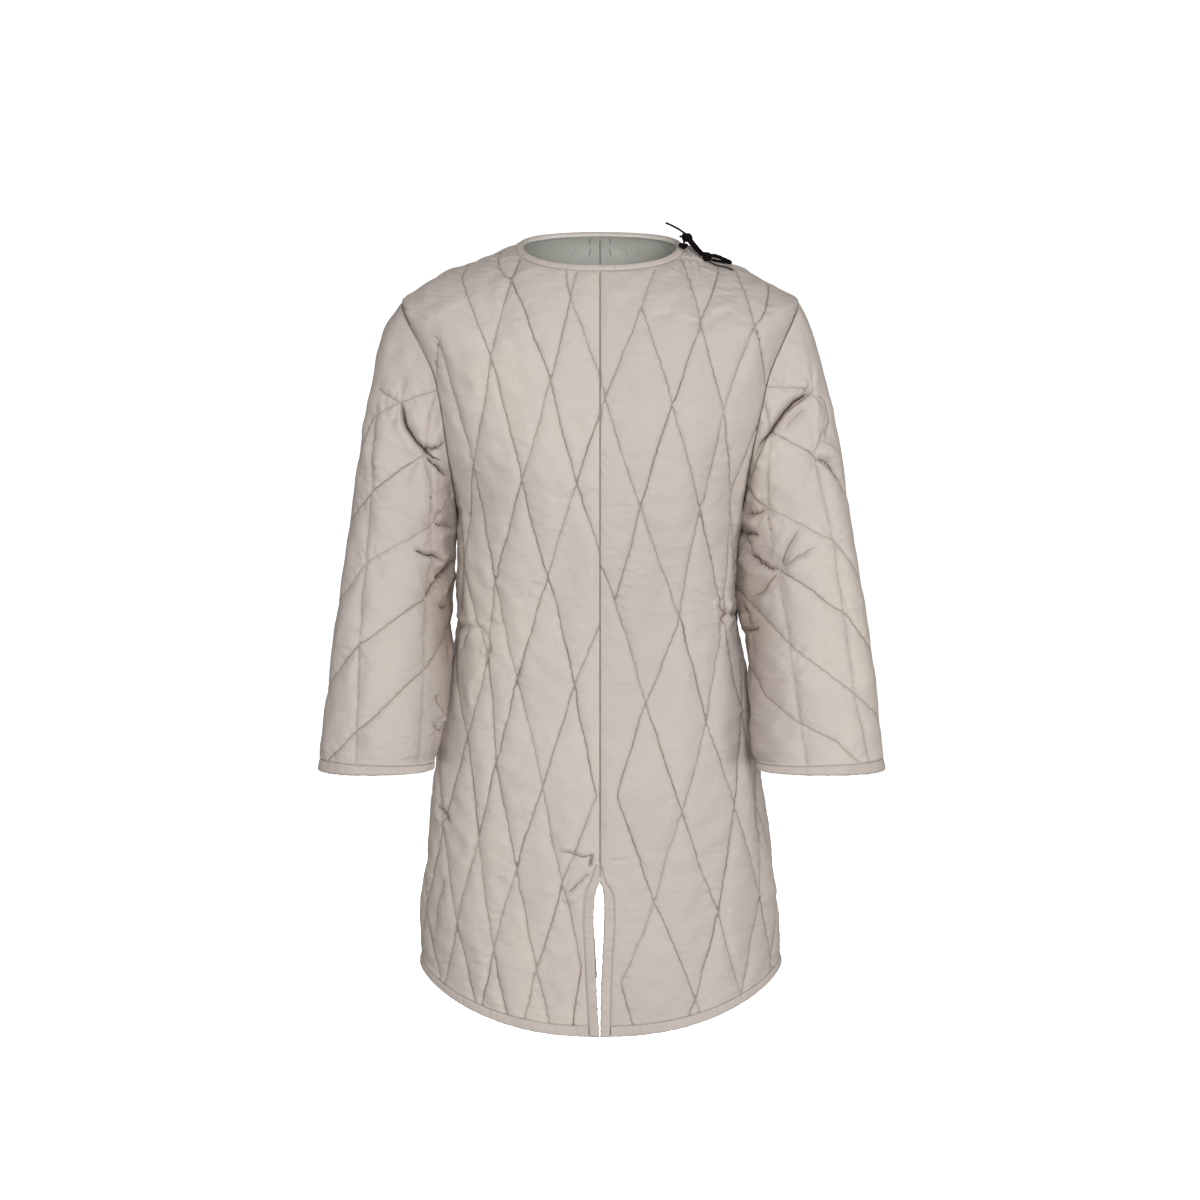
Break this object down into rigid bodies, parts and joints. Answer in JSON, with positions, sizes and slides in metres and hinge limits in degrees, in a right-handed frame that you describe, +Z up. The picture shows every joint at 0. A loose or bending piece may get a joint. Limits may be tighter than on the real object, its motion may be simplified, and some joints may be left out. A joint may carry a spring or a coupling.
{
  "type": "gambeson",
  "caption": "Long padded coat quilted in tall diamonds, with a round bound neck, long sleeves, a bound hem with centre slits, and an open shoulder tied with laces.",
  "frame": {"origin": "middle of the neck opening, level with the tops of the shoulders beside the neck", "axes": "+Z up, -Y out of the chest, +X to the wearer's left"},
  "size_m": [0.6934, 0.2869, 0.9909],
  "materials": {
    "quilted_cotton": "matt unbleached cotton canvas over padding, quilted in tall diamonds",
    "binding_cotton": "matt cotton binding strip, lightly gathered",
    "black_lace": "matt black braided lace"
  },
  "bodies": {
    "root": {"front_right": "quilted_cotton", "back_right": "quilted_cotton", "front_left": "quilted_cotton", "back_left": "quilted_cotton", "sleeve_right": "quilted_cotton", "sleeve_left": "quilted_cotton", "neck_binding": "binding_cotton", "cuff_binding_right": "binding_cotton", "cuff_binding_left": "binding_cotton", "hem_binding_front_right": "binding_cotton", "hem_binding_back_right": "binding_cotton", "hem_binding_front_left": "binding_cotton", "hem_binding_back_left": "binding_cotton", "slit_binding_front_right": "binding_cotton", "slit_binding_back_right": "binding_cotton", "slit_binding_front_left": "binding_cotton", "slit_binding_back_left": "binding_cotton", "lace_neck_tail": "black_lace", "lace_eyelet_strand": "black_lace", "lace_strand_upper": "black_lace", "lace_strand_lower": "black_lace", "lace_bow_loop": "black_lace", "lace_outer_tail": "black_lace", "lace_neck_knot": "black_lace", "lace_eyelet_knot": "black_lace", "lace_outer_knot": "black_lace"}
  },
  "joints": []
}
